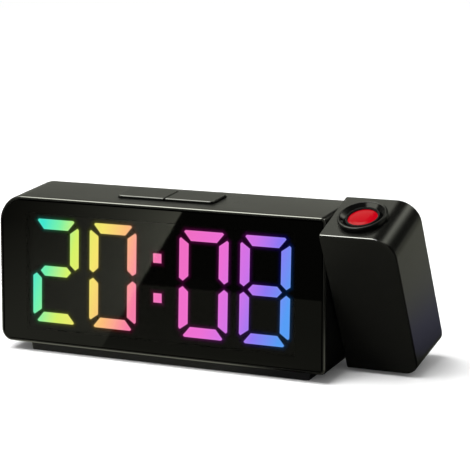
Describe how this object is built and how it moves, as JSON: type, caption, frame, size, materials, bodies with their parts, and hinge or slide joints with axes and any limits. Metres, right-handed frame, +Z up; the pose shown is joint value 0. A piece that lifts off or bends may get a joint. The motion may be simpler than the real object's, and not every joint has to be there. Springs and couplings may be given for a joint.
{
  "type": "projection alarm clock",
  "caption": "Low black desk clock with a leaning mirror display, two top keys, rear setting buttons and a tilting projector head at its right end.",
  "frame": {"origin": "centre of the foot bar's flat underside, on the surface the clock stands on", "axes": "+X along the clock to the projector head's end, -Y out of the display face towards the user, +Z up"},
  "size_m": [0.1901, 0.0483, 0.0729],
  "materials": {
    "case_plastic": "satin moulded",
    "mirror_acrylic": "polished smoked mirror",
    "mask_plastic": "matt moulded",
    "digit_mint": "lit diffuser",
    "digit_orange": "lit diffuser",
    "digit_pink": "lit diffuser",
    "digit_violet": "lit diffuser",
    "unlit_diffuser": "smoked diffuser",
    "led_white": "moulded chip",
    "board_green": "solder mask",
    "switch_plastic": "moulded",
    "key_plastic": "satin moulded",
    "screw_steel": "plated",
    "screw_black": "blackened",
    "speaker_metal": "pressed",
    "speaker_paper": "pulp cone",
    "cell_steel": "nickel plated",
    "contact_brass": "sprung sheet",
    "socket_plastic": "moulded",
    "socket_metal": "plated sheet",
    "foot_plastic": "matt moulded",
    "pad_rubber": "matt",
    "bearing_plastic": "natural acetal",
    "trunnion_plastic": "moulded",
    "optics_black": "matt moulded",
    "ring_black": "gloss moulded",
    "slide_film": "clear sandwich",
    "lamp_red": "lit chip",
    "lens_red": "polished, lit from behind"
  },
  "bodies": {
    "case": {"case_shell": "case_plastic", "mirror_panel": "mirror_acrylic", "display_mask": "mask_plastic", "digit_hours_tens": "digit_mint", "digit_hours_units": "digit_orange", "digit_minutes_tens": "digit_pink", "digit_minutes_units": "digit_violet", "colon_dots": "digit_pink", "unlit_segments": "unlit_diffuser", "segment_leds": "led_white", "display_board": "board_green", "display_screws": "screw_steel", "main_board": "board_green", "board_screws": "screw_steel", "key_board": "board_green", "key_switches": "switch_plastic", "key_board_screws": "screw_steel", "set_switches": "switch_plastic", "rear_cover": "case_plastic", "rear_screws": "screw_black", "speaker_frame": "speaker_metal", "speaker_cone": "speaker_paper", "battery_door": "case_plastic", "door_screw": "screw_black", "coin_cell": "cell_steel", "cell_contact": "contact_brass", "power_inlet": "socket_plastic", "usb_port": "socket_metal", "foot_bar": "foot_plastic", "foot_pads": "pad_rubber", "foot_screws": "screw_steel", "pivot_bush": "bearing_plastic"},
    "head": {"friction_washer": "screw_steel", "retaining_clip": "screw_steel", "pod_trunnion": "trunnion_plastic", "trunnion_screws": "screw_steel", "pod_side_cover": "case_plastic", "pod_screws": "screw_black", "pod_shell": "case_plastic", "optics_tube": "optics_black", "optics_screws": "screw_steel", "lamp_board": "board_green", "projector_led": "lamp_red", "time_slide": "slide_film", "focus_retainer": "bearing_plastic"},
    "focus_ring": {"focus_ring": "ring_black"},
    "lens": {"lens_barrel": "optics_black", "projection_lens": "lens_red"},
    "snooze_key": {"snooze_key": "key_plastic"},
    "brightness_key": {"brightness_key": "key_plastic"},
    "time_button": {"time_button": "key_plastic"},
    "alarm_button": {"alarm_button": "key_plastic"},
    "up_button": {"up_button": "key_plastic"},
    "down_button": {"down_button": "key_plastic"}
  },
  "joints": [
    {"name": "head_tilt", "type": "hinge", "parent": "case", "child": "head", "pos_m": [0.07755, 0.0046, 0.037], "axis": [1, 0, 0], "range_deg": [-12.6, 77.4]},
    {"name": "focus_turn", "type": "hinge", "parent": "head", "child": "focus_ring", "pos_m": [0.0914, 0.00346, 0.03664], "axis": [0, -0.3024, 0.9532], "range_deg": [-90, 90]},
    {"name": "lens_focus", "type": "slide", "parent": "head", "child": "lens", "axis": [0, -0.3024, 0.9532], "range_m": [-0.0006, 0.0006]},
    {"name": "snooze_press", "type": "slide", "parent": "case", "child": "snooze_key", "axis": [0, 0, -1], "range_m": [0, 0.0005], "stiffness_N_per_m": 1200, "springref_m": -0.0003},
    {"name": "brightness_press", "type": "slide", "parent": "case", "child": "brightness_key", "axis": [0, 0, -1], "range_m": [0, 0.0005], "stiffness_N_per_m": 1200, "springref_m": -0.0003},
    {"name": "time_press", "type": "slide", "parent": "case", "child": "time_button", "axis": [0, -1, 0], "range_m": [0, 0.0006], "stiffness_N_per_m": 600, "springref_m": -0.0003},
    {"name": "alarm_press", "type": "slide", "parent": "case", "child": "alarm_button", "axis": [0, -1, 0], "range_m": [0, 0.0006], "stiffness_N_per_m": 600, "springref_m": -0.0003},
    {"name": "up_press", "type": "slide", "parent": "case", "child": "up_button", "axis": [0, -1, 0], "range_m": [0, 0.0006], "stiffness_N_per_m": 600, "springref_m": -0.0003},
    {"name": "down_press", "type": "slide", "parent": "case", "child": "down_button", "axis": [0, -1, 0], "range_m": [0, 0.0006], "stiffness_N_per_m": 600, "springref_m": -0.0003}
  ],
  "couplings": [
    {"joint": "focus_turn", "follows": "lens_focus", "rad_per_m": 2617.9}
  ]
}
